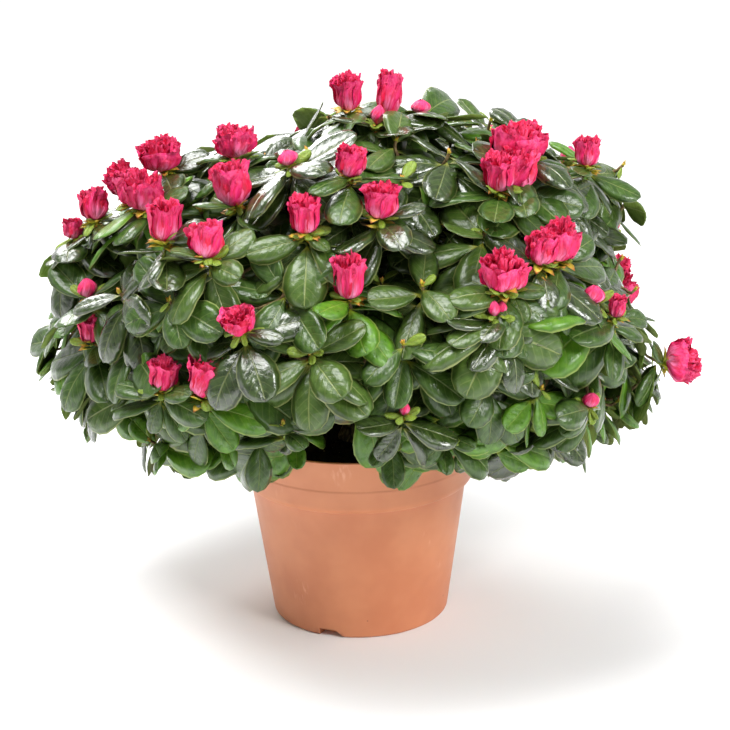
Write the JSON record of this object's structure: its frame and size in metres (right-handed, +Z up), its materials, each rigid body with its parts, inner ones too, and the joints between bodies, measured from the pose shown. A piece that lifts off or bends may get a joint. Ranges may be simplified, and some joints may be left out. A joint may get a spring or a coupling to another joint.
{
  "type": "potted azalea shrub",
  "caption": "Low, broad azalea shrub with a dome of glossy evergreen leaves and half-open double blooms, in a tapering plastic nursery pot.",
  "frame": {"origin": "centre of the flat underside of the pot", "axes": "+Z up through the pot's axis, -Y towards the front, +X to the right seen from the front"},
  "size_m": [0.3687, 0.3579, 0.3093],
  "materials": {
    "pot_plastic": "satin",
    "peat": "matte",
    "bark": "matte",
    "foliage": "satin",
    "blossom": "satin"
  },
  "bodies": {
    "root": {"pot": "pot_plastic", "peat": "peat", "trunk": "bark", "bough_top": "bark", "bough_upper_1": "bark", "bough_upper_2": "bark", "bough_upper_3": "bark", "bough_upper_4": "bark", "bough_upper_5": "bark", "bough_middle_1": "bark", "bough_middle_2": "bark", "bough_middle_3": "bark", "bough_middle_4": "bark", "bough_middle_5": "bark", "bough_middle_6": "bark", "bough_middle_7": "bark", "bough_lower_1": "bark", "bough_lower_2": "bark", "bough_lower_3": "bark", "bough_lower_4": "bark", "bough_lower_5": "bark", "bough_lower_6": "bark", "bough_lower_7": "bark", "bough_lower_8": "bark", "foliage_top": "foliage", "foliage_upper_1": "foliage", "foliage_upper_2": "foliage", "foliage_upper_3": "foliage", "foliage_upper_4": "foliage", "foliage_upper_5": "foliage", "foliage_middle_1": "foliage", "foliage_middle_2": "foliage", "foliage_middle_3": "foliage", "foliage_middle_4": "foliage", "foliage_middle_5": "foliage", "foliage_middle_6": "foliage", "foliage_middle_7": "foliage", "foliage_lower_1": "foliage", "foliage_lower_2": "foliage", "foliage_lower_3": "foliage", "foliage_lower_4": "foliage", "foliage_lower_5": "foliage", "foliage_lower_6": "foliage", "foliage_lower_7": "foliage", "foliage_lower_8": "foliage"}
  },
  "joints": []
}
